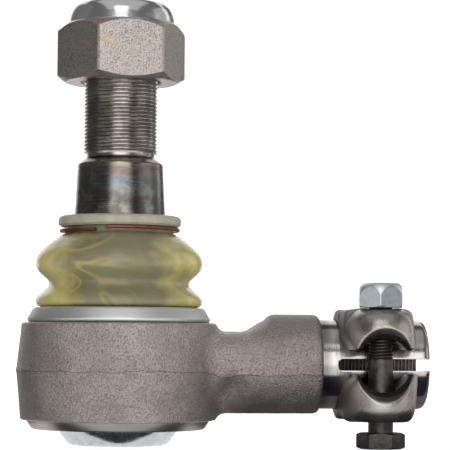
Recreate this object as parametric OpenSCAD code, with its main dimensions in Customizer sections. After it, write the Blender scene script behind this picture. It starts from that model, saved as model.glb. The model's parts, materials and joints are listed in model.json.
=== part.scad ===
// Tie rod end of a heavy road vehicle: an angle ball joint whose female tube is
// closed onto the tie rod by a loose clamp. Millimetres, +Z along the ball stud,
// +X along the tube, origin on the flat of the bottom cover.

/* [Socket] */
// Radius of the stud's ball
ball_r = 21; // [20.6:0.1:21.2]
// Radius of the forged body at its parting line
body_r = 41.3; // [40.6:0.1:42.4]
// Radius of the bore that takes the ball cups
socket_r = 28; // [27.8:0.1:28.4]
// Radius of the flat on the dished bottom cover
cover_flat_r = 19.5; // [18:0.5:20.5]

/* [Tube] */
// Distance from the stud axis to the open end of the tube
tube_end_x = 124.4; // [122:0.1:140]
// Outer radius of the machined tube
tube_r = 18.1; // [17.8:0.1:18.2]
// Radius of the forged boss behind the tube
boss_r = 20.1; // [19.5:0.1:20.6]
// Minor radius of the tube's M28 x 1.5 thread
tube_thread_minor_r = 13.19; // [13.1:0.01:13.4]
// Width of the slot that lets the tube close
slot_w = 4.5; // [4:0.1:5.5]

/* [Ball stud] */
// Height of the tip of the stud
stud_top_z = 176; // [172:0.5:177]
// Radius of the stud's neck above the ball
neck_r = 12.5; // [11:0.1:12.6]
// Outer radius of the stud's M30 x 1.5 thread
stud_thread_r = 15; // [14.8:0.05:15.1]
// Large-end radius of the 1:10 cone
cone_large_r = 18.55; // [18.4:0.05:18.6]

/* [Stud nut] */
// Height of the underside of the stud nut
nut_z = 146.7; // [120:0.1:146.7]
// Width across flats of the stud nut
nut_af = 46; // [45:0.5:48]

/* [Boot] */
// Wall of the rubber boot
boot_wall = 2; // [1.6:0.1:2.4]
// Radius of the two folds of the boot
boot_fold_r = 33.9; // [33:0.1:34.4]

/* [Clamp] */
// Distance from the stud axis to the middle of the clamp
clamp_x = 103; // [102:0.5:104]
// Width of the clamp along the tube
clamp_w = 30; // [29:0.5:31]
// Outer radius of the clamp band
band_r = 22; // [21.6:0.1:23.2]
// Height of the gap between the clamp's ears
ear_gap = 9.4; // [8:0.1:10]
// Radius of the M10 x 1.25 clamp bolt
bolt_r = 5; // [4.8:0.05:5.05]
// Width across flats of the clamp bolt and its nut
bolt_af = 17; // [16.5:0.5:17.5]

/* [Hidden] */
$fn = 96;
e = 0.01;
run = 0.05;

ball_z = 33;
rim_z = 6.5;
forging_z = 10.1;
body_top_z = 49.1;
lip_z = 8;
flange_r = 29.4;
flange_top_z = 10.8;
seal_seat_z = 12.6;
shelf_z = 46;
cover_wall = 2.4;
cover_cone_r = 24.3;
cup_r = socket_r - run;
ball_seat_r = ball_r + run;

scoop_z = 46;
scoop_x = 49.4;
boss_x = 62.4;
boss_end_x = 81.4;
bore_start_x = 66;
slot_start_x = 87;

cone_z = 88;
shoulder_z = 113.5;
thread_z = 118;
cone_small_r = cone_large_r - (shoulder_z - cone_z) / 20;
nut_hex_h = 23.7;
nut_h = 31.8;
nut_bore_r = stud_thread_r + run;
insert_seat_r = 18.3;
insert_h = 4.6;

ring_z = 49.6;
ring_top_z = 55.2;
boot_bead_r = 31.1;
clip_z = 85.3;
clip_h = 2.3;
clip_gap_x = -9.8;
clip_gap_w = 4;
top_ring_z = 87.75;
top_ring_h = 4.3;

clamp_bore_r = tube_r + run;
ear_y = -24.5;
ear_half_h = 22.4;
ear_r = clamp_w / 2;
ear_seat_r = 9.6;
root_half_h = 21.2;
eye_r = 11.75;
ear_gap_low = 3.5;
bolt_head_h = 6.4;
bolt_len = 58;
clamp_nut_z = 55.7;
clamp_nut_h = 9.8;
clamp_nut_hex_h = 7.2;
clamp_insert_seat_r = 6.5;

steel = [0.55, 0.54, 0.52];
forged = [0.42, 0.40, 0.38];
zinc = [0.78, 0.79, 0.80];
dark = [0.20, 0.19, 0.18];
polymer = [0.88, 0.84, 0.72];
amber = [0.80, 0.78, 0.50];
nylon = [0.85, 0.85, 0.88];
rust = [0.50, 0.22, 0.14];
rubber = [0.08, 0.08, 0.08];

// Puts a shape drawn about the Z axis onto the tube's axis.
module on_tube_axis() {
    translate([0, 0, ball_z])
        rotate([0, 90, 0])
            children();
}

// Puts a shape onto the axis of the clamp bolt.
module on_bolt_axis() {
    translate([clamp_x, ear_y, 0])
        children();
}

// A hexagon with corners turned off by cones at the bottom and, if asked, the top.
module hex_prism(af, h, turn, top_cut) {
    corner = af / sqrt(3);
    bevel = (corner - af / 2) * 0.62;
    intersection() {
        rotate([0, 0, turn])
            cylinder(h = h, r = corner, $fn = 6);
        rotate_extrude()
            polygon([
                [0, 0],
                [af / 2 - 0.4, 0],
                [corner, bevel],
                [corner, h - bevel * top_cut],
                [corner - (corner - af / 2 + 0.4) * top_cut, h],
                [0, h]
            ]);
    }
}

module housing_pot() {
    rotate_extrude()
        polygon([
            [0, rim_z],
            [34.6, rim_z],
            [36.6, forging_z],
            [body_r - 2.1, forging_z],
            [body_r, ball_z - 3],
            [body_r - 2.2, body_top_z - 1.3],
            [body_r - 3.5, body_top_z],
            [0, body_top_z]
        ]);
}

// Round boss and tube, with the top of the boss scooped away beside the pot.
module shank() {
    difference() {
        on_tube_axis()
            rotate_extrude()
                polygon([
                    [0, 30],
                    [boss_r, 30],
                    [boss_r, boss_end_x - 1.4],
                    [boss_r - 1.3, boss_end_x],
                    [tube_r + 0.6, boss_end_x],
                    [tube_r, boss_end_x + 0.6],
                    [tube_r, tube_end_x - 1.5],
                    [tube_r - 1.2, tube_end_x],
                    [0, tube_end_x]
                ]);
        translate([0, 30, 0])
            rotate([90, 0, 0])
                linear_extrude(height = 60)
                    polygon(concat(
                        [[20, 60], [20, body_top_z], [38, body_top_z], [39.4, body_top_z - 1.1],
                            [41.2, scoop_z + 0.7], [44, scoop_z]],
                        [for (t = [0:0.1:1])
                            [scoop_x + (boss_x - scoop_x) * t,
                                scoop_z + (ball_z + boss_r + 0.2 - scoop_z) * (1 - cos(180 * t)) / 2]],
                        [[boss_x, 60]]
                    ));
    }
}

// Hollow of the pot: rolled lip, cover seat, cup bore, shelf and flared throat.
module socket() {
    rotate_extrude()
        polygon([
            [0, rim_z - 1],
            [cover_cone_r + 0.4, rim_z - 1],
            [cover_cone_r + 0.4, lip_z],
            [flange_r + run, lip_z],
            [flange_r + run, seal_seat_z],
            [socket_r, seal_seat_z + 0.6],
            [socket_r, shelf_z],
            [18.9, shelf_z],
            [20.3, body_top_z + 1],
            [0, body_top_z + 1]
        ]);
}

module tube_bore() {
    on_tube_axis()
        rotate_extrude()
            polygon([
                [0, bore_start_x - 6],
                [tube_thread_minor_r, bore_start_x],
                [tube_thread_minor_r, tube_end_x - 1],
                [tube_thread_minor_r + 1.2, tube_end_x + 0.2],
                [0, tube_end_x + 0.2]
            ]);
    translate([slot_start_x + slot_w / 2, -25, ball_z - slot_w / 2])
        cube([tube_end_x, 25, slot_w]);
    translate([slot_start_x + slot_w / 2, 0, ball_z])
        rotate([90, 0, 0])
            cylinder(h = 25, d = slot_w);
}

module housing() {
    color(forged)
        difference() {
            union() {
                housing_pot();
                shank();
            }
            socket();
            tube_bore();
        }
}

module ball_stud() {
    junction = asin(neck_r / ball_r);
    color(steel)
        rotate_extrude()
            polygon(concat(
                [for (a = [-90:4:88 - junction]) [ball_r * cos(a), ball_z + ball_r * sin(a)]],
                [
                    [neck_r, ball_z + ball_r * cos(junction)],
                    [neck_r, 61],
                    [15.8, 74],
                    [17.8, 80],
                    [cone_large_r, 82],
                    [cone_large_r, cone_z],
                    [cone_small_r, shoulder_z - 0.4],
                    [cone_small_r - 0.3, shoulder_z],
                    [stud_thread_r - 1, shoulder_z + 2.2],
                    [stud_thread_r - 1.3, thread_z - 0.4],
                    [stud_thread_r - 0.6, thread_z],
                    [stud_thread_r, thread_z + 0.6],
                    [stud_thread_r, stud_top_z - 1.2],
                    [stud_thread_r - 1.2, stud_top_z],
                    [0, stud_top_z]
                ]
            ));
}

module upper_ball_cup() {
    color(polymer)
        difference() {
            rotate_extrude()
                polygon([
                    [17.2, ball_z + 1],
                    [cup_r, ball_z + 1],
                    [cup_r, shelf_z - 0.6],
                    [cup_r - 0.6, shelf_z],
                    [18.7, shelf_z],
                    [17.9, ball_z + 11],
                    [17.2, ball_z + 11]
                ]);
            translate([0, 0, ball_z])
                sphere(r = ball_seat_r);
        }
}

module lower_ball_cup() {
    color(polymer)
        difference() {
            rotate_extrude()
                polygon([
                    [14.5, 16],
                    [19.4, 14.4],
                    [cup_r - 1, 14.4],
                    [cup_r, 15.4],
                    [cup_r, ball_z - 1],
                    [14.5, ball_z - 1]
                ]);
            translate([0, 0, ball_z])
                sphere(r = ball_seat_r);
        }
}

// Conical disc spring that keeps the lower cup against the ball.
module preload_spring() {
    color(steel)
        rotate_extrude()
            polygon([
                [26.9, flange_top_z + 0.05],
                [27, flange_top_z + 1.2],
                [18.2, 14.1],
                [17.9, 12.9]
            ]);
}

module bottom_cover() {
    color(zinc)
        rotate_extrude()
            polygon([
                [0, 0],
                [cover_flat_r - 0.6, 0],
                [cover_flat_r + 0.4, 0.5],
                [cover_cone_r - 1, rim_z - 1.5],
                [cover_cone_r, rim_z],
                [cover_cone_r, lip_z + 0.02],
                [flange_r, lip_z + 0.02],
                [flange_r, flange_top_z],
                [cover_cone_r - 2.4, flange_top_z],
                [cover_cone_r - 3.4, rim_z],
                [cover_flat_r - 1.4, cover_wall],
                [0, cover_wall]
            ]);
}

module cover_seal_ring() {
    color(rubber)
        rotate_extrude()
            translate([28.5, 11.75, 0])
                circle(r = 0.85);
}

module boot_retaining_ring() {
    color(zinc)
        rotate_extrude()
            polygon([
                [29.2, body_top_z + 0.02],
                [35.8, body_top_z + 0.02],
                [36.8, ring_z + 0.5],
                [37, ring_z + 1.4],
                [34.4, ring_top_z - 0.3],
                [33.8, ring_top_z],
                [boot_bead_r + 0.3, ring_top_z],
                [boot_bead_r + 0.3, ring_z + 1.4],
                [29.2, ring_z + 1.4]
            ]);
}

// Height and radius of the boot's outer wall from the bead to the neck.
function boot_wave(z) = z < 55.75 ? boot_bead_r
    : z < 56.6 ? boot_bead_r + (boot_fold_r - boot_bead_r) * (z - 55.75) / 0.85
    : z < 64.7 ? (boot_fold_r + 28.3) / 2 + (boot_fold_r - 28.3) / 2 * cos(180 * (z - 56.6) / 8.1)
    : z < 72.8 ? (boot_fold_r + 28.3) / 2 - (boot_fold_r - 28.3) / 2 * cos(180 * (z - 64.7) / 8.1)
    : z < 74.5 ? boot_fold_r
    : 22 + (boot_fold_r - 22) * cos(90 * (z - 74.5) / 13.5);

module boot() {
    heights = [for (z = [51.2:0.9:84.8]) z];
    last = len(heights) - 1;
    color(amber)
        rotate_extrude()
            polygon(concat(
                [[29.6, 51.2], [boot_bead_r, 51.2]],
                [for (i = [1:last]) [boot_wave(heights[i]), heights[i]]],
                [
                    [21.9, 85.2],
                    [21.9, 87.6],
                    [19.1, 87.6],
                    [19.1, 84.2]
                ],
                [for (i = [last - 1:-1:1]) [boot_wave(heights[i]) - boot_wall, heights[i] - 0.5]],
                [[29.6, 52.4]]
            ));
}

module boot_top_ring() {
    color(polymer)
        translate([0, 0, top_ring_z])
            rotate_extrude()
                polygon([
                    [cone_large_r + 0.4, 0],
                    [24.3, 0],
                    [24.8, 0.5],
                    [24.8, top_ring_h - 0.9],
                    [23.9, top_ring_h],
                    [cone_large_r + 0.4, top_ring_h]
                ]);
}

// Flat wire sprung once round the boot's neck, its two ends meeting at the front.
module boot_wire_clip() {
    color(rust)
        difference() {
            rotate_extrude()
                translate([22, clip_z, 0])
                    square([2.4, clip_h]);
            translate([clip_gap_x, -30, clip_z - 1])
                cube([clip_gap_w, 20, clip_h + 2]);
        }
}

module stud_nut() {
    color(steel)
        translate([0, 0, nut_z])
            difference() {
                union() {
                    hex_prism(nut_af, nut_hex_h, 7.9, 0.85);
                    rotate_extrude()
                        polygon([
                            [0, nut_hex_h - 2],
                            [21.9, nut_hex_h - 2],
                            [21.9, nut_hex_h],
                            [21.3, nut_h - 5],
                            [20.7, nut_h - 3.3],
                            [20.1, nut_h - 2],
                            [19.3, nut_h - 1],
                            [18, nut_h],
                            [0, nut_h]
                        ]);
                }
                rotate_extrude()
                    polygon([
                        [0, -1],
                        [nut_bore_r + 1.4, -1],
                        [nut_bore_r + 1.2, 0],
                        [nut_bore_r, 1.2],
                        [nut_bore_r, nut_h - insert_h - 1.3],
                        [insert_seat_r + run, nut_h - insert_h - 1.3],
                        [insert_seat_r + run, nut_h - 1.2],
                        [16.6, nut_h - 1.2],
                        [16.6, nut_h + 1],
                        [0, nut_h + 1]
                    ]);
            }
}

// Locking ring held under the rolled edge of the stud nut.
module stud_nut_insert() {
    color(nylon)
        translate([0, 0, nut_z + nut_h - insert_h - 1.25])
            difference() {
                cylinder(h = insert_h - 0.05, r = insert_seat_r);
                translate([0, 0, -1])
                    cylinder(h = insert_h + 2, r = nut_bore_r);
            }
}

// Turned barrel whose ends are the seats of the clamp bolt.
module ear_barrel() {
    translate([clamp_x, ear_y, ball_z])
        rotate_extrude()
            polygon(concat(
                [[0, -ear_half_h], [ear_seat_r, -ear_half_h]],
                [for (a = [-80:10:0])
                    [ear_seat_r + (ear_r - ear_seat_r) * cos(a), -10 + (ear_half_h - 10) * sin(a)]],
                [for (a = [0:10:80])
                    [ear_seat_r + (ear_r - ear_seat_r) * cos(a), 10 + (ear_half_h - 10) * sin(a)]],
                [[ear_seat_r, ear_half_h], [0, ear_half_h]]
            ));
}

// Block that joins the band to the ears over the clamp's full width.
module ear_root() {
    translate([clamp_x - ear_r, ear_y, ball_z])
        rotate([90, 0, 90])
            linear_extrude(height = 2 * ear_r)
                polygon([
                    [0, -root_half_h],
                    [-ear_y - 4, -root_half_h],
                    [-ear_y, -root_half_h + 1.5],
                    [-ear_y, root_half_h - 1.5],
                    [-ear_y - 4, root_half_h],
                    [0, root_half_h]
                ]);
}

module clamp_band() {
    on_tube_axis()
        translate([0, 0, clamp_x - clamp_w / 2])
            rotate_extrude()
                polygon([
                    [0, 0],
                    [clamp_bore_r + 1.4, 0],
                    [band_r - 1.3, 0.9],
                    [band_r - 0.3, 2.4],
                    [band_r, 4.2],
                    [band_r, clamp_w - 4.2],
                    [band_r - 0.3, clamp_w - 2.4],
                    [band_r - 1.3, clamp_w - 0.9],
                    [clamp_bore_r + 1.4, clamp_w],
                    [0, clamp_w]
                ]);
}

module tube_clamp() {
    color(dark)
        difference() {
            union() {
                clamp_band();
                ear_root();
                ear_barrel();
            }
            on_tube_axis()
                cylinder(h = 200, r = clamp_bore_r);
            translate([clamp_x, 0, ball_z])
                rotate([90, 0, 0])
                    cylinder(h = 60, r = eye_r);
            translate([clamp_x - 30, -60, ball_z - ear_gap_low])
                cube([60, 60, ear_gap]);
            on_bolt_axis()
                cylinder(h = 100, r = bolt_r + 0.4);
        }
}

module clamp_bolt() {
    color(dark)
        on_bolt_axis() {
            hex_prism(bolt_af, bolt_head_h, 50.8, 0);
            translate([0, 0, bolt_head_h - e])
                cylinder(h = bolt_len - 1 + e, r = bolt_r);
            translate([0, 0, bolt_head_h + bolt_len - 1 - e])
                cylinder(h = 1, r1 = bolt_r, r2 = bolt_r - 1);
        }
}

module clamp_nut() {
    color(zinc)
        on_bolt_axis()
            translate([0, 0, clamp_nut_z])
                difference() {
                    union() {
                        hex_prism(bolt_af, clamp_nut_hex_h, 21, 0.85);
                        rotate_extrude()
                            polygon([
                                [0, clamp_nut_hex_h - 1],
                                [8, clamp_nut_hex_h - 1],
                                [8, clamp_nut_h - 1.5],
                                [7.6, clamp_nut_h - 0.5],
                                [6.8, clamp_nut_h],
                                [0, clamp_nut_h]
                            ]);
                    }
                    rotate_extrude()
                        polygon([
                            [0, -1],
                            [bolt_r + run + 0.8, -1],
                            [bolt_r + run + 0.6, 0],
                            [bolt_r + run, 0.6],
                            [bolt_r + run, clamp_nut_hex_h],
                            [clamp_insert_seat_r, clamp_nut_hex_h],
                            [clamp_insert_seat_r, clamp_nut_h - 0.5],
                            [5.9, clamp_nut_h - 0.5],
                            [5.9, clamp_nut_h + 1],
                            [0, clamp_nut_h + 1]
                        ]);
                }
}

module clamp_nut_insert() {
    color(nylon)
        on_bolt_axis()
            translate([0, 0, clamp_nut_z + clamp_nut_hex_h])
                difference() {
                    cylinder(h = clamp_nut_h - clamp_nut_hex_h - 0.5, r = clamp_insert_seat_r);
                    translate([0, 0, -1])
                        cylinder(h = 6, r = bolt_r + run);
                }
}

housing();
upper_ball_cup();
lower_ball_cup();
preload_spring();
bottom_cover();
cover_seal_ring();
ball_stud();
boot_retaining_ring();
boot();
boot_top_ring();
boot_wire_clip();
stud_nut();
stud_nut_insert();
tube_clamp();
clamp_bolt();
clamp_nut();
clamp_nut_insert();
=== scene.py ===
import json
import math

import bpy
import numpy as np
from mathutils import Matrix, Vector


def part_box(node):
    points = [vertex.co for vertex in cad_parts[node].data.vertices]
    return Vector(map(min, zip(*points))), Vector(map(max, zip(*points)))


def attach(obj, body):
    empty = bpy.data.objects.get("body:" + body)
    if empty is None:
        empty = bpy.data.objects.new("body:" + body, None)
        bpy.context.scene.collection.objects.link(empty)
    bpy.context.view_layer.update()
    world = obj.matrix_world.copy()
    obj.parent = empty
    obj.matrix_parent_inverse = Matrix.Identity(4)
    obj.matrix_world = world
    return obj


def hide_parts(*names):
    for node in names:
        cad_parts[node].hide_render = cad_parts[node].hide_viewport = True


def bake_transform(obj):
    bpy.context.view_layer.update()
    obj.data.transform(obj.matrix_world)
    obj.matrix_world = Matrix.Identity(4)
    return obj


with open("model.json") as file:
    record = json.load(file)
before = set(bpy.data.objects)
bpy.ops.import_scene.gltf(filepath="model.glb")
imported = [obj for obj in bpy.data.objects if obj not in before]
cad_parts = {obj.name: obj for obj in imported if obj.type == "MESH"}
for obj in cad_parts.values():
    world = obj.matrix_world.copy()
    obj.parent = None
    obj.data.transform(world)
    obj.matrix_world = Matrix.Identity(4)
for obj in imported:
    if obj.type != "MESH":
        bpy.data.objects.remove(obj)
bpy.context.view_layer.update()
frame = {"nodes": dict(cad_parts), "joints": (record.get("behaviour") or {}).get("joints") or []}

import openvdb
from mathutils import Matrix, Vector

MM = 0.001
TAU = 2 * math.pi


def joint(name):
    """The place of a joint, in millimetres."""
    found = [j for j in frame["joints"] if j["name"] == name]
    return Vector(found[0]["pos_m"]) / MM


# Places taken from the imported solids, in millimetres.
BALL_Z = joint("stud_tilt").z
CLAMP_X = joint("clamp_turn").x
BOLT_X, BOLT_Y = joint("clamp_nut_turn")[:2]
TUBE_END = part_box("housing")[1].x / MM
BODY_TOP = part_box("boot_retaining_ring")[0].z / MM - 0.02  # the forging ends just under the ring
STUD_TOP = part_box("ball_stud")[1].z / MM
NUT_LOW, NUT_TOP = (v.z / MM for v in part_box("stud_nut"))
CNUT_LOW, CNUT_TOP = (v.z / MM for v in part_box("clamp_nut"))
BOLT_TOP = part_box("clamp_bolt")[1].z / MM

# Driving sizes, in millimetres.
POT_FOOT = 10.1  # underside of the forged pot
BOSS_R, BOSS_END = 20.1, 81.4  # the round boss that the tube comes out of
TUBE_R, TUBE_MINOR, TUBE_PITCH = 18.1, 13.19, 1.5  # the tube's skin, and its thread's crests
SLOT_START, SLOT_HALF = 89.25, 2.25  # centre of the slot's round end, and half its width
BAND_R, BAND_HALF = 22.0, 15  # the clamp's band round the tube, and half its width
EAR_R, EAR_HALF = 15, 22.4  # the clamp's ear round the bolt, and half its height
EYE_R, HOLE_R = 10.7, 5.4  # the eye through the ear, and the bolt's hole
STUD_R, STUD_PITCH, STUD_FLATS = 15.0, 1.5, 46  # the stud's thread and its nut
CONE_LOW, CONE_TOP, CONE_R = 88, 113.2, 18.55  # the stud's 1:10 cone, with its radius at the low end
BOLT_R, BOLT_PITCH, BOLT_FLATS = 5.0, 1.25, 17  # the clamp bolt's thread, its head and its nut
HEAD_TALL = 6.4  # height of the bolt's head

# The line where the two forging dies met: places along X and heights.
PARTING = ((34, 30.0), (38, 28.6), (41, 27.7), (43.5, 27.8), (46, 28.9))

# The boot's outside, heights and radii: the bead, the lower fold, the valley, the upper fold, the neck.
BOOT = ((51.3, 31.1), (55.3, 31.1), (55.8, 32.9), (56.8, 33.8), (58.2, 33.9), (59.8, 32.9),
        (61.5, 31.1), (63.1, 29.1), (64.7, 28.3), (66.3, 28.9), (68.0, 30.9), (69.6, 32.7),
        (71.2, 33.6), (72.8, 33.9), (74.5, 33.7), (76.1, 33.1), (77.7, 31.9), (79.3, 30.2),
        (81.0, 28.2), (82.6, 26.2), (84.2, 24.0), (85.0, 22.2), (85.3, 21.8), (87.6, 21.8))


# ---------------------------------------------------------------- mesh tools

def add_mesh(name, verts, faces, sharp=32):
    """An object from points in millimetres, smooth where faces meet at under sharp degrees."""
    mesh = bpy.data.meshes.new(name)
    mesh.from_pydata((np.asarray(verts, float) * MM).tolist(), [], faces)
    mesh.validate()
    obj = bpy.data.objects.new(name, mesh)
    bpy.context.scene.collection.objects.link(obj)
    mesh.polygons.foreach_set("use_smooth", [True] * len(mesh.polygons))
    mesh.set_sharp_from_angle(angle=math.radians(sharp))
    return obj


def rounded(points):
    """Corners (r, z, fillet) of a closed section, each turned into a short curve."""
    steps = 4
    out = []
    for i, corner in enumerate(points):
        fillet = corner[2] if len(corner) > 2 else 0
        here = Vector(corner[:2])
        if fillet <= 0:
            out.append(tuple(here))
            continue
        before = Vector(points[i - 1][:2]) - here
        after = Vector(points[(i + 1) % len(points)][:2]) - here
        cut = min(fillet, before.length * 0.49, after.length * 0.49)
        start, end = here + before.normalized() * cut, here + after.normalized() * cut
        for k in range(steps + 1):
            t = k / steps
            out.append(tuple(start * (1 - t) ** 2 + here * 2 * t * (1 - t) + end * t * t))
    return out


def round_angles(segs):
    return np.arange(segs) * TAU / segs


def ring_points(radii, heights, angles):
    """Points of rings about Z; radii and heights hold one column, or a value for every angle."""
    r, z, a = np.broadcast_arrays(radii, heights, angles)
    return np.stack([r * np.cos(a), r * np.sin(a), z], -1).reshape(-1, 3)


def ring_faces(pairs, segs):
    """Quads between each pair of rings, where a ring has segs points."""
    faces = []
    for low, high in pairs:
        a, b = low * segs, high * segs
        for j in range(segs):
            k = (j + 1) % segs
            faces.append((a + j, a + k, b + k, b + j))
    return faces


def lathe_grid(points, segs, closed=True):
    """Vertices and faces of a section (r, z) turned about Z."""
    section = np.array(points, float)
    count = len(section)
    pairs = [(i, (i + 1) % count) for i in range(count if closed else count - 1)]
    pairs = [pair for pair in pairs if section[list(pair), 0].max() >= 1e-6]
    return ring_points(section[:, :1], section[:, 1:], round_angles(segs)), ring_faces(pairs, segs)


def helix_grid(profile, pitch, low, high, segs):
    """A thread between two heights: profile(phase) gives the radius, and rows follow the helix."""
    rows = 10
    step = pitch / rows
    count = int((high - low) / step) + 2 * rows + 1
    angles = np.arange(segs + 1) * TAU / segs
    z = low - pitch + np.arange(count)[:, None] * step + pitch * angles / TAU
    z = np.clip(z, low, high)
    r = np.array([[profile((i % rows) / rows)] for i in range(count)])
    width = segs + 1
    faces = []
    for i in range(count - 1):
        if z[i].min() == z[i + 1].max():
            continue
        for a in range(i * width, i * width + segs):
            faces.append((a, a + 1, a + width + 1, a + width))
    return ring_points(r, z, angles), faces


def screw_profile(major, minor):
    """A thread's radius over one pitch: a flat root, straight flanks and a narrow crest."""
    def radius(phase):
        t = min(max((0.5 - abs(phase - 0.5)) * 2.6 - 0.25, 0), 1)
        return minor + (major - minor) * t
    return radius


def join(*grids):
    verts, faces, base = [], [], 0
    for v, f in grids:
        verts.append(np.asarray(v, float))
        faces += [tuple(i + base for i in q) for q in f]
        base += len(v)
    return np.concatenate(verts), faces


def moved(grid, matrix):
    v, f = grid
    m = np.array(matrix)
    return v @ m[:3, :3].T + m[:3, 3], f


def solid_from_field(name, field, low, high, step):
    """The surface where field(x, y, z) is zero, inside negative; all in millimetres."""
    axes = [np.arange(a, b + step, step, dtype=np.float32) for a, b in zip(low, high)]
    x, y, z = np.meshgrid(*axes, indexing="ij")
    values = np.clip(field(x, y, z), -2 * step, 2 * step).astype(np.float32)
    grid = openvdb.FloatGrid(2 * step)
    grid.copyFromArray(values)
    points, quads = grid.convertToQuads(isovalue=0.0)
    verts = np.array(points, float) * step + np.array(low, float)
    faces = [tuple(reversed(q)) for q in quads.tolist()]
    return add_mesh(name, verts, faces, sharp=40)


def smin(a, b, k):
    """The smaller of two fields, blended over a width k."""
    h = np.clip(0.5 + 0.5 * (b - a) / k, 0, 1)
    return b + (a - b) * h - k * h * (1 - h)


def smax(a, b, k):
    return -smin(-a, -b, k)


def fade(value, start, end):
    """0 at start and before it, 1 at end and past it."""
    return np.clip((value - start) / (end - start), 0, 1)


def wave(x, y, z, seed, scale, count):
    """Smooth, repeatable unevenness between about -1 and 1."""
    rng = np.random.default_rng(seed)
    total = 0
    for _ in range(count):
        d = rng.normal(size=3)
        d *= rng.uniform(0.6, 1.4) / scale / np.linalg.norm(d)
        total = total + np.sin(d[0] * x + d[1] * y + d[2] * z + rng.uniform(0, TAU))
    return total / count ** 0.5 / 1.2


# ---------------------------------------------------------------- material tools

def shade(colour, amount):
    return tuple(c * amount for c in colour)


class Paint:
    """A node material written in a few short calls. Coordinates are object metres."""

    def __init__(self, name, **values):
        self.mat = bpy.data.materials.new(name)
        self.mat.use_nodes = True
        self.tree = self.mat.node_tree
        self.bsdf = self.tree.nodes["Principled BSDF"]
        self.coord = self.tree.nodes.new("ShaderNodeTexCoord").outputs["Object"]
        for key, value in values.items():
            self.set(key, value)

    def set(self, socket, value):
        target = self.bsdf.inputs[socket]
        if hasattr(value, "is_output"):
            self.tree.links.new(value, target)
        elif isinstance(value, tuple) and target.type == "RGBA":
            target.default_value = (*value, 1)
        else:
            target.default_value = value

    def node(self, kind, inputs=None, **props):
        n = self.tree.nodes.new("ShaderNode" + kind)
        for key, value in props.items():
            setattr(n, key, value)
        for key, value in (inputs or {}).items():
            if hasattr(value, "is_output"):
                self.tree.links.new(value, n.inputs[key])
            else:
                n.inputs[key].default_value = value
        return n

    def scaled(self, x, y, z, turn=(0, 0, 0)):
        return self.node("Mapping", {"Vector": self.coord, "Scale": (x, y, z), "Rotation": turn}).outputs[0]

    def noise(self, scale, detail=4, rough=0.6, vector=None, distortion=0):
        inputs = {"Vector": vector or self.coord, "Scale": scale, "Detail": detail,
                  "Roughness": rough, "Distortion": distortion}
        return self.node("TexNoise", inputs).outputs["Fac"]

    def spots(self, scale):
        return self.node("TexVoronoi", {"Vector": self.coord, "Scale": scale}).outputs["Distance"]

    def range(self, value, a, b, c=0.0, d=1.0):
        """The value carried from a..b to c..d and held at the ends."""
        return self.node("MapRange", {"Value": value, "From Min": a, "From Max": b, "To Min": c,
                                      "To Max": d}).outputs[0]

    def ramp(self, value, *stops):
        n = self.node("ValToRGB", {"Fac": value})
        elements = n.color_ramp.elements
        for i, (place, colour) in enumerate(stops):
            e = elements[i] if i < 2 else elements.new(place)
            e.position, e.color = place, (*colour, 1)
        return n.outputs["Color"]

    def mix(self, fac, a, b):
        n = self.node("Mix", data_type="RGBA")
        for key, value in (("Factor", fac), ("A", a), ("B", b)):
            socket = [s for s in n.inputs if s.name == key and s.enabled][0]
            if hasattr(value, "is_output"):
                self.tree.links.new(value, socket)
            else:
                socket.default_value = (*value, 1) if isinstance(value, tuple) else value
        return [s for s in n.outputs if s.enabled][0]

    def math(self, op, a, b=0.0):
        return self.node("Math", {0: a, 1: b}, operation=op).outputs[0]

    def times(self, a, b):
        return self.math("MULTIPLY", a, b)

    def axis(self, name, origin=0.0):
        """One coordinate in metres, measured from an origin in millimetres."""
        value = self.node("SeparateXYZ", {"Vector": self.coord}).outputs[name]
        return self.math("SUBTRACT", value, origin * MM) if origin else value

    def distance(self, a, b):
        return self.math("SQRT", self.math("ADD", self.times(a, a), self.times(b, b)))

    def bump(self, height, strength, distance, under=None):
        inputs = {"Height": height, "Strength": strength, "Distance": distance}
        if under is not None:
            inputs["Normal"] = under
        out = self.node("Bump", inputs).outputs["Normal"]
        self.set("Normal", out)
        return out

    def on(self, *objs):
        for o in objs:
            o.data.materials.clear()
            o.data.materials.append(self.mat)


def parting_level(p, x):
    """The parting line's height in metres, as a ramp along X."""
    first, top = PARTING[0]
    length = PARTING[-1][0] - first
    depth = 4
    stops = [((place - first) / length, ((top - height) / depth,) * 3) for place, height in PARTING]
    drop = p.ramp(p.range(x, first * MM, (first + length) * MM), *stops)
    return p.math("SUBTRACT", top * MM, p.times(drop, depth * MM))


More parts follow.
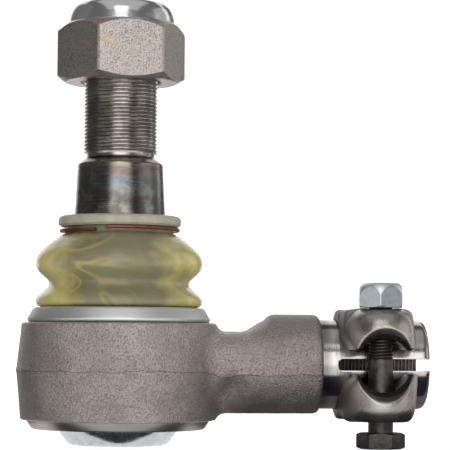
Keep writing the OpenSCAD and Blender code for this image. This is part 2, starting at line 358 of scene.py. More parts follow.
def shot_blasted(name, dark, light):
    """Blasted forging: dark pits on brownish grey steel, the parting line, and painted shade low on the neck
    and boss and on their tops.
    """
    p = Paint(name, Metallic=0.92)
    grain = p.noise(1500, 3, 0.7)
    cloud = p.noise(70, 4, 0.6)
    pits = p.range(p.spots(900), 0.05, 0.35)
    x, z = p.axis("X"), p.axis("Z")
    wander = p.range(p.noise(150, 4, 0.7), 0.3, 0.7, -0.0007, 0.0007)
    above = p.math("ADD", p.math("SUBTRACT", z, parting_level(p, x)), wander)
    crack = p.range(p.math("ABSOLUTE", p.math("ADD", above, 0.00012)), 0.0, 0.00028, 1.0, 0.0)
    base = p.mix(p.range(cloud, 0.35, 0.65), dark, light)
    base = p.mix(p.range(grain, 0.38, 0.60, 0.70, 0.0), base, shade(dark, 0.40))
    base = p.mix(p.times(crack, 0.75), base, shade(dark, 0.3))
    # painted shade: darker low on the neck and boss, and on top of the neck and boss
    below = p.times(p.range(z, 0.028, 0.019, 0.0, 0.6), p.range(x, 0.041, 0.045))
    below = p.times(below, p.range(x, 0.072, 0.050, 0.25, 1.0))
    over = p.times(p.range(z, 0.041, 0.050, 0.0, 0.55), p.range(x, 0.046, 0.054))
    p.set("Base Color", p.mix(p.math("MAXIMUM", below, over), base, shade(dark, 0.35)))
    p.set("Roughness", p.range(grain, 0.3, 0.7, 0.35, 0.55))
    a = p.bump(p.times(grain, pits), 0.95, 0.0006)
    a = p.bump(cloud, 0.25, 0.0015, a)
    p.bump(p.range(above, -0.0002, 0.0002, 1.0, 0.0), 0.35, 0.0003, a)
    return p


def turned(name, base, rough, lines=2500, tint=0.25):
    """Machined steel with fine turning marks round Z."""
    p = Paint(name, Metallic=1.0)
    fine = p.noise(1, 3, 0.7, p.scaled(30, 30, lines))
    cloud = p.noise(90, 4, 0.6)
    p.set("Base Color", p.mix(p.range(cloud, 0.3, 0.7, 0, tint), base, shade(base, 0.5)))
    uneven = p.math("ADD", fine, p.times(cloud, 0.6))
    p.set("Roughness", p.range(uneven, 0.5, 1.1, rough - 0.06, rough + 0.14))
    p.bump(fine, 0.18, 0.0003)
    return p


def mottled(name, scale, dark, light, rough, metallic=0.0, detail=5, softness=0.65):
    """A finish whose colour and roughness follow one cloudy noise."""
    p = Paint(name, Metallic=metallic)
    cloud = p.noise(scale, detail, softness)
    p.set("Base Color", p.ramp(cloud, (0.3, dark), (0.7, light)))
    p.set("Roughness", p.range(cloud, 0.3, 0.7, *rough))
    return p


def nylon(name):
    p = Paint(name, Roughness=0.4)
    p.set("Base Color", p.ramp(p.noise(500, 4), (0.3, (0.62, 0.63, 0.66)), (0.7, (0.78, 0.79, 0.82))))
    p.bump(p.noise(1500, 2), 0.15, 0.0003)
    return p


# ---------------------------------------------------------------- housing

def pot_radius(z):
    """The pot's radius, widest near the parting line."""
    return np.interp(z, [6, POT_FOOT, 30, 49.1], [38.8, 39.2, 41.0, 39.1])


def forging_field(x, y, z):
    """The forged pot with its neck and boss, before the tube."""
    rho = np.hypot(x, y)
    tube_rho = np.hypot(y, z - BALL_Z)
    pot = smax(rho - pot_radius(z), z - BODY_TOP, 1.2)
    pot = smax(pot, POT_FOOT - z, 1.0)
    # the boss, scooped flat on top where it nears the pot
    scoop = 46.0 + 3.55 * (1 - np.cos(math.pi * fade(x, 49.4, 62.4))) + 8 * fade(x, 59, 63)
    boss = smax(tube_rho - BOSS_R, (z - scoop) * 0.85, 7.0)
    boss = smax(smax(boss, x - BOSS_END, 3.2), 24 - x, 2)
    shape = smin(pot, boss, 4.5)
    # a dish pressed into the lower front and back of the neck, beside the pot
    dish = np.sqrt(((x - 45.5) / 6.5) ** 2 + ((np.abs(y) - 21.5) / 9) ** 2 + ((z - 19.5) / 8.5) ** 2)
    shape = smax(shape, (1 - dish) * 7, 4)
    # the low ridge where the two dies met
    ridge = z - np.interp(x, *zip(*PARTING))
    ridge = ridge - 0.25 * np.sin(x * 0.7 + y * 0.5) - 0.15 * np.sin(x * 1.9 + y * 1.1 + 1)
    shape -= 0.22 * np.exp(-(ridge / 0.6) ** 2) * fade(rho, 30, 35)
    # unevenness of the forged skin, strongest on the lower flanks of neck and boss
    shape -= 0.06 * wave(x, y, z, 3, 2.4, 7) * fade(z, 48, 46)
    hammered = fade(x, 40, 45) * np.exp(-((z - 20) / 5.5) ** 2)
    shape -= 0.17 * wave(x, y, z, 5, 0.8, 9) * hammered
    # the socket, its flared throat, and the hole for the tube
    throat = np.interp(z, [46, 46.05, 49.1, 52], [28, 18.9, 20.3, 20.9])
    shape = np.maximum(shape, throat - rho)
    return np.maximum(shape, np.minimum(13.9 - tube_rho, x - 60))


def tube_field(x, y, z):
    """The machined tube with its bore and slot."""
    zr = z - BALL_Z
    tube_rho = np.hypot(y, zr)
    root, bevel, bore_end = TUBE_MINOR + 0.95, TUBE_MINOR + 1.9, 66
    shape = smax(tube_rho - TUBE_R, x - TUBE_END, 3.0)
    shape = np.maximum(shape, 62 - x)
    bore = np.maximum(root, bevel - (TUBE_END - x))
    shape = np.maximum(shape, np.where(x > bore_end, bore - tube_rho, x - bore_end))
    slot = np.hypot(np.minimum(x - SLOT_START, 0), zr) - SLOT_HALF
    return np.maximum(shape, -np.maximum(slot, y + 2))


def tube_thread():
    """The tube's inner thread as its own sheet, left open where the slot is."""
    profile = screw_profile(TUBE_MINOR + 1.0, TUBE_MINOR)
    v, faces = helix_grid(profile, TUBE_PITCH, 67, TUBE_END - 0.9, 180)
    v = np.stack([v[:, 2], v[:, 0], v[:, 1] + BALL_Z], -1)
    faces = np.array(faces)[:, ::-1]
    x, y, z = v[faces].mean(1).T
    slot = (y < 0) & (np.abs(z - BALL_Z) < SLOT_HALF + 0.05) & (x > SLOT_START - 2.05)
    return v, faces[~slot].tolist()


def paint_tube(tube):
    """Bright turned steel, with painted shade inside the bore and slot and a painted shadow next to the boss.
    """
    p = Paint("machined_tube_steel", Metallic=1.0)
    cloud = p.noise(90, 4)
    skin = p.ramp(cloud, (0.3, (0.47, 0.445, 0.42)), (0.7, (0.38, 0.36, 0.34)))
    # painted shadow on the tube next to the boss
    skin = p.mix(p.range(p.axis("X"), 0.0855, 0.0825, 0.0, 0.7), skin, (0.13, 0.122, 0.115))
    rho = p.distance(p.axis("Y"), p.axis("Z", BALL_Z))
    # painted shade on the faces inside the bore and slot
    p.set("Base Color", p.mix(p.range(rho, 0.0172, 0.0178), (0.17, 0.16, 0.155), skin))
    p.set("Roughness", p.range(cloud, 0.3, 0.7, 0.13, 0.20))
    p.bump(p.noise(1, 3, 0.7, p.scaled(2500, 30, 30)), 0.18, 0.0003)
    p.on(tube)


def build_housing():
    forging = solid_from_field("housing_forging", forging_field, (-43, -43, 8), (83, 43, 54.8), 0.55)
    shot_blasted("forged_steel_blasted", (0.45, 0.400, 0.375), (0.59, 0.535, 0.505)).on(forging)
    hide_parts("housing")

    rim = rounded([(25.0, 6.5, 0.3), (34.6, 6.5, 0.8), (36.4, 9.2, 0.4), (37.2, 10.6), (29.45, 10.6),
                   (29.45, 8.0), (24.7, 8.0, 0.2)])
    rim = add_mesh("housing_rolled_lip", *lathe_grid(rim, 192))
    turned("rolled_lip_steel", (0.34, 0.325, 0.31), 0.40).on(rim)

    tube = solid_from_field("housing_tube", tube_field, (61, -18.7, 14.3), (126, 18.7, 51.7), 0.32)
    paint_tube(tube)
    thread = add_mesh("housing_tube_thread", *tube_thread())
    p = mottled("tube_thread_steel", 260, (0.20, 0.19, 0.185), (0.34, 0.33, 0.32), (0.34, 0.5), 0.8, 4, 0.6)
    p.bump(p.noise(1500, 3), 0.15, 0.0003)
    p.on(thread)
    for o in (forging, rim, tube, thread):
        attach(o, "housing_body")


def build_cover():
    dish = rounded([(0, 0), (18.9, 0, 1.2), (20.3, 0.9, 1.5), (23.4, 4.8, 1.2), (24.2, 7.2, 0.5), (24.3, 9),
                    (22, 9), (20.9, 6.5, 1), (18.1, 2.4, 1), (0, 2.4)])
    flange = [(24.2, 8.02), (29.4, 8.02), (29.4, 10.8), (21.9, 10.8), (21.9, 8.02)]
    cover = add_mesh("bottom_cover_pressing", *join(lathe_grid(dish, 192), lathe_grid(flange, 128)))
    p = mottled("zinc_plate_cover", 260, (0.40, 0.42, 0.44), (0.60, 0.62, 0.64), (0.20, 0.32), 0.95)
    p.bump(p.noise(900, 3), 0.15, 0.0003)
    p.on(cover)
    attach(cover, "housing_body")
    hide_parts("bottom_cover")


def build_retaining_ring():
    section = rounded([(29.2, 49.12), (35.6, 49.12, 0.4), (36.6, 49.4, 0.5), (37.0, 50.6, 0.8),
                       (34.6, 54.7, 0.4), (33.9, 55.2, 0.4), (31.4, 55.2, 0.2), (31.4, 51.0), (29.2, 51.0)])
    ring = add_mesh("boot_retaining_band", *lathe_grid(section, 192))
    turned("retaining_ring_steel", (0.66, 0.67, 0.65), 0.48, 1600, 0.12).on(ring)
    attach(ring, "housing_body")
    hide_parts("boot_retaining_ring")


# ---------------------------------------------------------------- clamp, bolt and nut

def clamp_field(x, y, z):
    """The clamp's band, and in front of the tube its ear with the eye, the gap and the bolt's hole."""
    zr = z - BALL_Z
    tall = np.abs(zr)
    tube_rho = np.hypot(y, zr)
    bolt_rho = np.hypot(x - BOLT_X, y - BOLT_Y)
    across = np.abs(x - CLAMP_X) - BAND_HALF
    front = y < -10
    band = smax(tube_rho - BAND_R, across, 3.0)
    web = smax(smax(across, tall - 21.9, 3.5), smax(y - 2, BOLT_Y - y, 1), 1)
    ear = smax(bolt_rho - EAR_R, tall - EAR_HALF, np.where(zr > 0, 11, 6))
    lug = smin(smin(band, web, 1.5), ear, 2.0)
    # the right flank leans in towards its foot, and the left one towards the gap
    right = x - CLAMP_X - BAND_HALF + 0.20 * np.clip(-zr - 8, 0, 20) * fade(y, -12, -18)
    flank = np.where(front, right, across - 0.1)
    lug = smax(lug, flank, np.where(front, np.where(zr > 0, 6.0, 2.5), 1.0))
    left = CLAMP_X - BAND_HALF + 5.5 * fade(tall, 12, 2) * fade(y, -14, -19) - x
    lug = smax(lug, np.where(front, left, -9), 1.5)
    # the eye, flared at its mouth and tapering off inside the band
    eye = EYE_R + 0.55 * np.clip(-y - 32.5, 0, 7) - np.hypot(x - BOLT_X, zr)
    lug = smax(lug, np.maximum(eye - 2 * np.maximum(y + 4, 0), -9), 0.9)
    gap = np.maximum(np.abs(zr - 1.2) - 4.7, y)
    lug = smax(lug, -gap, 0.8)
    lug = lug - 0.06 * wave(x, y, z, 11, 1.8, 7)
    lug = np.maximum(lug, tall - EAR_HALF - 0.1)
    return np.maximum(lug, np.maximum(TUBE_R + 0.05 - tube_rho, HOLE_R - bolt_rho))


def build_clamp():
    clamp = solid_from_field("tube_clamp_forging", clamp_field, (86.5, -41, 7.5), (119.5, 24, 58.5), 0.34)
    p = Paint("dark_forging_tumbled")
    cloud = p.noise(120, 5, 0.6)
    x, y, z = p.axis("X"), p.axis("Y"), p.axis("Z")
    base = p.mix(p.range(cloud, 0.3, 0.7), (0.270, 0.245, 0.227), (0.47, 0.434, 0.400))
    # painted shade inside the eye, on the lower part and on the left flank, and the nut's bare seat
    deep = p.times(p.range(y, -0.0388, -0.0370), p.range(y, -0.0170, -0.0180))
    rho = p.distance(p.axis("X", BOLT_X), p.axis("Z", BALL_Z))
    inside = p.times(p.range(rho, 0.0130, 0.0120), deep)
    base = p.mix(p.times(inside, 0.85), base, (0.045, 0.038, 0.034))
    # painted shade, darker towards the bottom
    base = p.mix(p.range(z, 0.0235, 0.0125, 0.0, 0.45), base, (0.11, 0.10, 0.092))
    # painted shade on the left flank, with less metal and more roughness there
    flank = p.times(p.range(x, 0.0925, 0.0890), 0.8)
    base = p.mix(flank, base, (0.050, 0.045, 0.042))
    p.set("Base Color", p.mix(p.range(z, 0.0550, 0.0553), base, (0.42, 0.41, 0.40)))
    p.set("Metallic", p.math("SUBTRACT", 0.9, p.times(flank, 0.8)))
    p.set("Roughness", p.math("ADD", p.range(cloud, 0.3, 0.7, 0.22, 0.36), p.times(flank, 0.3)))
    a = p.bump(p.noise(1600, 3, 0.6), 0.22, 0.0003)
    p.bump(cloud, 0.2, 0.001, a)
    p.on(clamp)
    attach(clamp, "clamp")
    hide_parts("tube_clamp")


def corner_radius(flats):
    return flats / math.sqrt(3)


def hex_grid(flats, turn, rows, limit, soft):
    """A hexagon with corners cut back by soft, whose radius at each height is held to limit(z)."""
    segs = 360
    angles = round_angles(segs)
    off_flat = np.mod(angles - math.radians(turn), math.pi / 3) - math.pi / 6
    hexagon = np.minimum(flats / 2 / np.cos(off_flat), corner_radius(flats) - soft)
    radii = np.minimum(hexagon, np.array([[limit(z)] for z in rows]))
    pairs = [(i, i + 1) for i in range(len(rows) - 1)]
    return ring_points(radii, np.array(rows, float)[:, None], angles), ring_faces(pairs, segs)


def build_bolt():
    def limit(z):
        return min(8.1 + max(z, 0) * 2.2, corner_radius(BOLT_FLATS), 8.3 + max(HEAD_TALL - z, 0) * 2.2)
    rows = [0, 0.1, 0.2, 0.4, 0.6, 0.8, 1.1, 3, 5.4, 5.6, 5.8, 6.0, 6.2, 6.3, HEAD_TALL]
    head = hex_grid(BOLT_FLATS, 50.8, rows, limit, 0.15)
    under = lathe_grid([(0, 0.25), (5.6, 0.25), (6.2, 0), (8.12, 0)], 120, False)
    over = lathe_grid([(8.32, HEAD_TALL), (4.9, HEAD_TALL), (4.9, 7)], 120, False)
    plain_end, core = 35.0, 4.3
    shank = rounded([(0, 6.3), (4.95, 6.3), (4.95, plain_end, 0.2), (4.6, plain_end + 0.8),
                     (core, plain_end + 1), (core, BOLT_TOP - 0.3), (3.9, BOLT_TOP, 0.2), (0, BOLT_TOP)])
    profile = screw_profile(BOLT_R, core - 0.02)
    thread = helix_grid(profile, BOLT_PITCH, plain_end + 0.3, BOLT_TOP - 0.7, 96)
    whole = join(head, under, over, lathe_grid(shank, 96), thread)
    place = Matrix.Translation((BOLT_X, BOLT_Y, 0))
    bolt = add_mesh("clamp_bolt_screw", *moved(whole, place), sharp=28)
    p = Paint("black_oxide_bolt", Metallic=0.85)
    cloud = p.noise(300, 5, 0.65)
    p.set("Base Color", p.ramp(cloud, (0.3, (0.036, 0.034, 0.034)), (0.75, (0.115, 0.108, 0.102))))
    p.set("Roughness", p.range(cloud, 0.3, 0.7, 0.30, 0.48))
    p.bump(p.noise(1300, 3), 0.25, 0.0003)
    p.on(bolt)
    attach(bolt, "bolt")
    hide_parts("clamp_bolt")


def build_clamp_nut():
    h = CNUT_TOP - CNUT_LOW
    crown = 5.5
    turn = 20.8

    def limit(z):
        below_top = [0, 0.15, 0.6, 1.3, 2.2, 3.2, 4.4, 5.4]
        dome = np.interp(h - z, below_top, [6.7, 7.1, 7.7, 8.3, 8.75, 9.15, 9.55, 9.9])
        return min(corner_radius(BOLT_FLATS), 8.3 + z * 2.0, float(dome))
    rows = np.concatenate([np.linspace(0, 1.2, 9), np.linspace(1.2, h - crown, 4),
                           np.linspace(h - crown, h, 36)])
    outer = hex_grid(BOLT_FLATS, turn, sorted(set(np.round(rows, 3))), limit, 0.12)
    inner = rounded([(6.7, h), (6.0, h, 0.3), (6.0, h - 0.7, 0.3), (5.5, h - 0.9), (5.5, 0.6),
                     (6.2, 0, 0.2), (8.32, 0)])
    place = Matrix.Translation((BOLT_X, BOLT_Y, CNUT_LOW))
    whole = moved(join(outer, lathe_grid(inner, 120, False)), place)
    nut = add_mesh("clamp_nut_plated", *whole, sharp=28)
    p = Paint("zinc_plate_nut", Metallic=0.9)
    cloud = p.noise(420, 5, 0.65)
    plate = p.ramp(cloud, (0.3, (0.54, 0.59, 0.62)), (0.7, (0.70, 0.74, 0.77)))
    # one of its flats has painted shade, darker than the rest
    facing = math.radians(turn - 90)
    u = p.times(p.axis("X", BOLT_X), math.cos(facing))
    v = p.times(p.axis("Y", BOLT_Y), math.sin(facing))
    # painted shade on the one flat
    shaded_flat = p.range(p.math("ADD", u, v), 0.00830, 0.00845)
    flat_shade = p.ramp(cloud, (0.3, (0.24, 0.27, 0.29)), (0.7, (0.34, 0.37, 0.39)))
    p.set("Base Color", p.mix(shaded_flat, plate, flat_shade))
    p.set("Roughness", p.range(cloud, 0.3, 0.7, 0.34, 0.46))
    p.bump(p.noise(1300, 3), 0.12, 0.0003)
    p.on(nut)
    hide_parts("clamp_nut")
    ring = rounded([(5.05, h - 2.6), (6.4, h - 2.6), (6.4, h - 0.75, 0.2), (5.35, h - 0.75, 0.3)])
    ring = add_mesh("clamp_nut_lock_ring", *moved(lathe_grid(ring, 96), place))
    nylon("clamp_nut_nylon").on(ring)
    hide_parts("clamp_nut_insert")
    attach(nut, "bolt_nut")
    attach(ring, "bolt_nut")


# ---------------------------------------------------------------- ball stud and its nut

def build_stud():
    def cone(z):
        return CONE_R - (z - CONE_LOW) / 20
    ball_r, core = 21, 14.1
    ball = [(ball_r * math.cos(a), BALL_Z + ball_r * math.sin(a))
            for a in np.linspace(-math.pi / 2, 0.93, 60)]
    rest = rounded([(12.5, 50.2, 1.5), (12.5, 61, 4), (15.8, 74, 3), (17.8, 80, 1), (18.5, 82, 0.5),
                    (CONE_R, CONE_LOW, 0.4), (cone(CONE_TOP), CONE_TOP, 0.5), (14.2, 115.6, 0.5),
                    (13.75, 116.2, 0.3), (13.75, 117.4, 0.3), (core, 118.2), (core, STUD_TOP - 0.9),
                    (13.4, STUD_TOP, 0.3), (0, STUD_TOP)])
    thread = helix_grid(screw_profile(STUD_R, 14.3), STUD_PITCH, 117.9, STUD_TOP - 0.8, 160)
    whole = join(lathe_grid(ball + rest, 192, False), thread)
    stud = add_mesh("ball_stud_turned", *whole, sharp=28)
    p = Paint("ball_stud_steel", Metallic=1.0)
    z = p.axis("Z")
    fine = p.noise(1, 3, 0.7, p.scaled(60, 60, 2600))
    cloud = p.noise(160, 4, 0.6)
    # heat colours up the cone, from grey through blue and straw to the bright thread
    heat = p.range(p.math("ADD", z, p.times(p.noise(45, 3), 0.006)), 0.088, 0.121)
    tint = p.ramp(heat, (0.0, (0.28, 0.255, 0.235)), (0.40, (0.25, 0.24, 0.225)),
                  (0.56, (0.21, 0.23, 0.225)), (0.66, (0.165, 0.20, 0.215)), (0.73, (0.24, 0.19, 0.17)),
                  (0.80, (0.22, 0.185, 0.16)), (0.84, (0.31, 0.275, 0.21)), (0.93, (0.31, 0.28, 0.23)),
                  (1.0, (0.42, 0.395, 0.37)))
    soot = p.times(p.range(cloud, 0.36, 0.56), p.range(z, 0.113, 0.098, 0.45, 0.92))
    p.set("Base Color", p.mix(soot, tint, (0.10, 0.09, 0.082)))
    p.set("Roughness", p.range(fine, 0.3, 0.7, 0.16, 0.30))
    p.bump(fine, 0.2, 0.0003)
    p.on(stud)
    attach(stud, "stud")
    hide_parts("ball_stud")


def paint_stud_nut(nut):
    """Specked and scratched steel on the hexagon, bright smooth steel on the collar."""
    p = Paint("stud_nut_steel", Metallic=0.95)
    z = p.axis("Z")
    speck = p.noise(1900, 4, 0.75)
    cloud = p.noise(110, 4, 0.6)
    scratch = p.noise(1, 4, 0.7, p.scaled(900, 900, 60))
    collar, hexagon = p.range(z, 0.1695, 0.1705), p.range(z, 0.1705, 0.1695)
    tone = p.ramp(cloud, (0.35, (0.43, 0.408, 0.395)), (0.65, (0.47, 0.405, 0.345)))
    flats = p.mix(p.range(speck, 0.38, 0.50), (0.12, 0.11, 0.105), tone)
    flats = p.mix(p.range(p.noise(420, 2, 0.4), 0.66, 0.74, 0.0, 0.45), flats, (0.13, 0.11, 0.10))
    p.set("Base Color", p.mix(collar, flats, (0.66, 0.65, 0.65)))
    rough, smooth = p.range(scratch, 0.3, 0.7, 0.30, 0.46), p.range(cloud, 0.3, 0.7, 0.15, 0.22)
    p.set("Roughness", p.mix(collar, rough, smooth))
    a = p.bump(p.times(scratch, hexagon), 0.25, 0.0004)
    p.bump(p.times(speck, hexagon), 0.4, 0.0004, a)
    p.on(nut)


def build_stud_nut():
    h = NUT_TOP - NUT_LOW
    hex_top = 23.7
    bore = 15.9

    def limit(z):
        if z <= hex_top:
            return min(corner_radius(STUD_FLATS), 22.6 + z * 1.7, 22.1 + (hex_top - z) * 1.2)
        below_top = [0, 0.4, 1, 2, 3.3, 5, 8.1]
        return float(np.interp(h - z, below_top, [18.0, 18.7, 19.3, 20.1, 20.75, 21.3, 21.9]))
    rows = np.concatenate([np.linspace(0, 2.6, 14), np.linspace(2.6, 19.4, 8), np.linspace(19.4, hex_top, 20),
                           np.linspace(hex_top + 0.02, h - 3.3, 8),
                           h - 3.3 * (1 - np.linspace(0, 1, 14)) ** 1.6])
    outer = hex_grid(STUD_FLATS, 7.9, sorted(set(np.round(rows, 3))), limit, 0.3)
    inner = rounded([(18.0, h), (16.6, h - 0.1, 0.4), (16.6, h - 1.3), (bore, h - 1.3), (bore, 1.0),
                     (16.7, 0, 0.3), (22.6, 0)])
    grooves = helix_grid(screw_profile(bore, STUD_R + 0.1), STUD_PITCH, 0.8, h - 6.5, 120)
    place = Matrix.Translation((0, 0, NUT_LOW))
    whole = moved(join(outer, lathe_grid(inner, 160, False), grooves), place)
    nut = add_mesh("stud_nut_body", *whole, sharp=28)
    paint_stud_nut(nut)
    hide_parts("stud_nut")
    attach(nut, "nut")
    ring = rounded([(15.05, h - 5.8), (18.25, h - 5.8), (18.25, h - 1.32, 0.3), (15.6, h - 1.32, 0.5)])
    ring = add_mesh("stud_nut_lock_ring", *moved(lathe_grid(ring, 128), place))
    nylon("stud_nut_nylon").on(ring)
    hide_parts("stud_nut_insert")
    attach(ring, "nut_carrier")


# ---------------------------------------------------------------- boot and its rings

def boot_creases(heights, angles):
    """Shallow dents and swellings of the boot's skin, as rows by angles."""
    crease = np.zeros((len(heights), len(angles)))
    rng = np.random.default_rng(8)
    for _ in range(26):
        a0, z0 = rng.uniform(0, TAU), rng.uniform(60, 83)
        lean, wide = rng.normal(0, 0.02), rng.uniform(0.03, 0.075)
        depth, tall = rng.uniform(-0.28, 0.22), rng.uniform(3, 7)
        up = heights[:, None] - z0
        aside = np.mod(angles - a0 - lean * up + math.pi, TAU) - math.pi
        crease += depth * np.exp(-(aside / wide) ** 2 - (up / tall) ** 2)
    return crease


def paint_boot(boot):
    """Clouded polyurethane, grey in the middle with painted amber light at the sides, and a few yellow veins.
    """
    p = Paint("boot_polyurethane")
    p.set("IOR", 1.5)
    p.set("Subsurface Weight", 0.65)
    p.set("Subsurface Radius", (0.006, 0.0055, 0.003))
    p.set("Subsurface Scale", 1.0)
    p.set("Specular IOR Level", 0.35)
    p.set("Transmission Weight", 0.22)
    streak = p.noise(1, 5, 0.6, p.scaled(120, 120, 45), 1.2)
    cloud = p.noise(55, 4, 0.6, None, 0.8)
    aside = p.math("ABSOLUTE", p.axis("X"))
    aside = p.math("ADD", aside, p.range(p.noise(60, 3), 0.3, 0.7, -0.008, 0.008))
    grey = p.ramp(cloud, (0.25, (0.245, 0.227, 0.122)), (0.75, (0.32, 0.305, 0.208)))
    backlit_amber = p.ramp(cloud, (0.25, (0.67, 0.57, 0.18)), (0.75, (0.82, 0.73, 0.33)))
    # painted light: the amber at the sides stands for light shining through the boot's edges
    base = p.mix(p.range(aside, 0.012, 0.030), grey, backlit_amber)
    swirl = p.noise(1, 2, 0.4, p.scaled(38, 38, 55, (0.9, 0.3, 0.5)), 1.0)
    vein = p.range(p.math("ABSOLUTE", p.math("SUBTRACT", swirl, 0.5)), 0.0, 0.05, 1.0, 0.0)
    vein = p.times(vein, p.range(p.axis("X"), 0.004, -0.012))
    base = p.mix(p.times(vein, 0.55), base, (0.66, 0.56, 0.16))
    p.set("Base Color", p.mix(p.range(streak, 0.55, 0.78, 0, 0.4), base, (0.40, 0.31, 0.08)))
    p.set("Roughness", p.range(streak, 0.3, 0.7, 0.14, 0.26))
    a = p.bump(streak, 0.3, 0.001)
    p.bump(p.noise(700, 3), 0.1, 0.0003, a)
    p.on(boot)


def build_boot():
    place = np.linspace(0, len(BOOT) - 1, 96)
    z, r = (np.interp(place, range(len(BOOT)), values) for values in zip(*BOOT))
    kernel = np.array([1, 2, 3, 2, 1]) / 9
    z[2:-2], r[2:-2] = np.convolve(z, kernel, "valid"), np.convolve(r, kernel, "valid")
    segs = 288
    angles = round_angles(segs)
    free = fade(z, 56, 59) * fade(z, 84, 80)
    sag = 0.12 * np.sin(3 * angles) * np.sin(z / 5)[:, None]
    outer = r[:, None] + (boot_creases(z, angles) + sag) * free[:, None] - 0.15
    wall = np.interp(z, [51, 84, 85], [1.6, 2.0, 2.6])
    rows = np.concatenate([outer, (outer - wall[:, None])[::-1]])
    heights = np.concatenate([z, z[::-1] - 0.3])
    heights[-1] = heights[0]
    pairs = [(i, (i + 1) % len(rows)) for i in range(len(rows))]
    verts = ring_points(rows, heights[:, None], angles)
    boot = add_mesh("boot_bellows", verts, ring_faces(pairs, segs), 80)
    paint_boot(boot)
    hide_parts("boot")
    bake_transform(boot)


def build_top_ring():
    section = rounded([(18.95, 87.75, 0.2), (23.6, 87.75, 0.4), (24.1, 88.3, 0.2), (24.8, 88.6, 0.4),
                       (24.8, 91.0, 0.6), (23.9, 92.05, 0.5), (21.6, 92.05, 0.3), (21.3, 91.6, 0.2),
                       (19.4, 91.6, 0.3), (18.95, 91.0, 0.2)])
    ring = add_mesh("boot_top_collar", *lathe_grid(section, 192))
    p = mottled("collar_plastic", 240, (0.33, 0.31, 0.23), (0.42, 0.40, 0.31), (0.34, 0.5), 0.0, 4, 0.6)
    p.set("Subsurface Weight", 0.15)
    p.set("Subsurface Radius", (0.002, 0.0015, 0.001))
    p.set("Subsurface Scale", 1.0)
    p.bump(p.noise(1200, 3), 0.12, 0.0003)
    p.on(ring)
    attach(ring, "boot_collar")
    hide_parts("boot_top_ring")


def build_wire_clip():
    """A flat wire sprung once round the boot's neck, falling from its first end to its second."""
    steps = 120
    start, turn, fall = math.radians(-104.5), math.radians(348), 1.05
    section = [(22.0, 0.1), (22.2, -0.05), (24.0, -0.05), (24.35, 0.15), (24.25, 0.55), (24.35, 0.95),
               (24.0, 1.15), (22.2, 1.15), (22.0, 1.0)]
    verts = []
    for i in range(steps + 1):
        a = start + i * turn / steps
        z0 = 86.45 - fall * i / steps
        verts += [(r * math.cos(a), r * math.sin(a), z0 + h) for r, h in section]
    m = len(section)
    faces = [face[::-1] for face in ring_faces([(i, i + 1) for i in range(steps)], m)]
    faces += [tuple(range(m)), tuple(reversed(range(steps * m, steps * m + m)))]
    clip = add_mesh("boot_wire_clip_wound", verts, faces, 50)
    copper = (0.10, 0.030, 0.020), (0.24, 0.075, 0.048)
    p = mottled("clip_wire_coppered", 400, *copper, (0.35, 0.5), 0.7, 4, 0.6)
    p.bump(p.noise(1200, 3), 0.2, 0.0003)
    p.on(clip)
    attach(clip, "boot_collar")
    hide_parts("boot_wire_clip")


def paint_hidden_nodes():
    """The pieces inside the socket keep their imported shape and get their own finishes."""
    cup = Paint("cup_acetal", Roughness=0.45)
    cup.set("Base Color", cup.ramp(cup.noise(300, 4), (0.3, (0.66, 0.61, 0.50)), (0.7, (0.82, 0.78, 0.68))))
    cup.bump(cup.noise(1500, 3), 0.15, 0.0003)
    cup.on(frame["nodes"]["upper_ball_cup"], frame["nodes"]["lower_ball_cup"])
    turned("disc_spring_steel", (0.30, 0.30, 0.31), 0.35).on(frame["nodes"]["preload_spring"])
    seal = Paint("seal_rubber_black")
    seal.set("Base Color", seal.ramp(seal.noise(900, 3), (0.3, (0.012,) * 3), (0.7, (0.03,) * 3)))
    seal.set("Roughness", seal.range(seal.noise(400, 3), 0.3, 0.7, 0.45, 0.6))
    seal.bump(seal.noise(2000, 3), 0.2, 0.0003)
    seal.on(frame["nodes"]["cover_seal_ring"])


# ---------------------------------------------------------------- studio

def aimed(obj, place, aim):
    """Puts a light or camera at a place, in metres, looking at another."""
    obj.location = place
    obj.rotation_mode = "QUATERNION"
    obj.rotation_quaternion = (Vector(aim) - Vector(place)).to_track_quat("-Z", "Y")
    bpy.context.scene.collection.objects.link(obj)


def area_light(name, place, aim, size, power):
    light = bpy.data.lights.new(name, "AREA")
    light.energy = power
    light.shape = "RECTANGLE"
    light.size, light.size_y = size
    aimed(bpy.data.objects.new(name, light), place, aim)


def paper(name, dark, light):
    """A flat matt finish, nearly even."""
    p = Paint(name, Roughness=0.9)
    p.set("Base Color", p.ramp(p.noise(3, 2), (0.3, dark), (0.7, light)))
    return p


def build_lights():
    area_light("front", (-0.03, -1.15, 0.36), (0.03, 0, 0.08), (1.05, 0.76), 5.7)
    area_light("high_front", (-0.04, -0.75, 0.80), (0.05, 0, 0.08), (0.40, 0.30), 0.9)
    area_light("right_front", (0.87, -0.32, 0.26), (0.0, 0, 0.05), (0.6, 0.6), 0.85)
    area_light("right", (0.98, 0.20, 0.35), (0.0, 0, 0.08), (0.8, 1.0), 0.9)
    area_light("top", (0.03, -0.30, 1.05), (0.04, 0, 0.05), (1.2, 1.2), 2.0)
    world = bpy.data.worlds.new("world")
    bpy.context.scene.world = world
    world.use_nodes = True
    world.node_tree.nodes["Background"].inputs["Color"].default_value = (1, 1, 1, 1)
    world.node_tree.nodes["Background"].inputs["Strength"].default_value = 0.13


def build_card(name, corners, tones):
    """A card that only reflections see; its corners are in millimetres."""
    card = add_mesh(name, corners, [(0, 1, 2, 3)])
    card.visible_camera = card.visible_shadow = False
    paper(name, *tones).on(card)


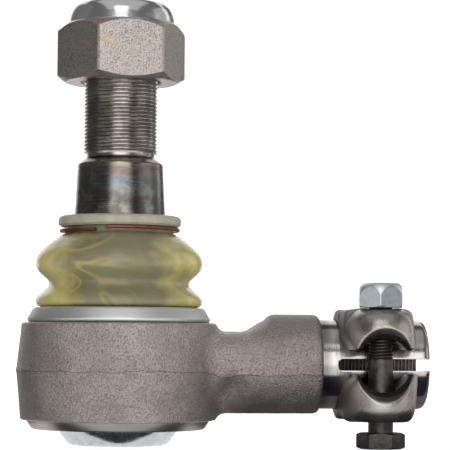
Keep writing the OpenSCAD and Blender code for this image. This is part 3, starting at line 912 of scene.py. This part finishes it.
def build_cards():
    """Dark strips on the floor in front and beside, and upright cards at the left and right."""
    navy = ((0.008, 0.011, 0.030), (0.012, 0.016, 0.045))
    grey = ((0.18, 0.18, 0.185), (0.22, 0.22, 0.225))
    pale = ((0.34, 0.34, 0.34), (0.40, 0.40, 0.40))
    far, front, back, level = 900, -71, 600, 0.3
    for name, x0, x1, y0, y1, tones in (
            ("card_front_far", -far, 40, front, -46, navy), ("card_front_near", -far, 40, -35, -21.2, navy),
            ("card_neck_front", 40, 84, front, -22.5, navy), ("card_tube_front", 84, far, front, -13, navy),
            ("card_floor_left", -far, -46, -22.5, back, grey), ("card_neck_below", 40, 84, -22.5, back, grey),
            ("card_tube_below", 84, far, -13, back, pale)):
        build_card(name, [(x0, y0, level), (x1, y0, level), (x1, y1, level), (x0, y1, level)], tones)
    top = 900
    build_card("card_left", [(-700, -120, 0), (-560, 900, 0), (-560, 900, top), (-700, -120, top)],
               ((0.17, 0.17, 0.17), (0.21, 0.21, 0.21)))
    build_card("card_right", [(800, 620, 0), (480, 1000, 0), (480, 1000, top), (800, 620, top)],
               ((0.16, 0.16, 0.16), (0.19, 0.19, 0.19)))


def build_floor():
    """A pale floor that rises behind the object, just under it."""
    side, near, bend_start, bend, top, drop = 3.5, -1.6, 1.2, 0.6, 2.6, 0.00002
    profile = [(near, 0.0), (bend_start, 0.0)]
    profile += [(bend_start + bend * math.sin(a), bend - bend * math.cos(a))
                for a in np.linspace(0.1, math.pi / 2, 12)]
    profile += [(bend_start + bend, top)]
    verts = [(x / MM, y / MM, (z - drop) / MM) for y, z in profile for x in (-side, side)]
    faces = [(2 * i, 2 * i + 1, 2 * i + 3, 2 * i + 2) for i in range(len(profile) - 1)]
    floor = add_mesh("floor", verts, faces, 80)
    p = paper("floor_paper", (0.90, 0.90, 0.90), (0.92, 0.92, 0.92))
    p.set("Emission Color", (1.0, 1.0, 1.0))
    p.set("Emission Strength", 0.80)
    p.on(floor)


def build_camera():
    camera = bpy.data.objects.new("camera", bpy.data.cameras.new("camera"))
    azimuth, roll, field = math.radians(-4.8), math.radians(0.4), math.radians(12.84)
    distance, lower = 0.813, 0.048
    aim = Vector((0.0428, 0.0, 0.0893))
    away = Vector((math.sin(azimuth), -math.cos(azimuth), 0)) * distance
    aimed(camera, aim + away - Vector((0, 0, lower)), aim)
    camera.rotation_quaternion = camera.rotation_quaternion @ Matrix.Rotation(roll, 3, "Z").to_quaternion()
    camera.data.sensor_width = 36
    camera.data.lens = 36 / 2 / math.tan(field / 2)
    camera.data.clip_start, camera.data.clip_end = 0.01, 20
    scene = bpy.context.scene
    scene.camera = camera
    scene.view_settings.view_transform = "Standard"
    scene.view_settings.look = "None"


build_housing()
build_cover()
build_retaining_ring()
build_clamp()
build_bolt()
build_clamp_nut()
build_stud()
build_stud_nut()
build_boot()
build_top_ring()
build_wire_clip()
paint_hidden_nodes()
build_floor()
build_lights()
build_cards()
build_camera()
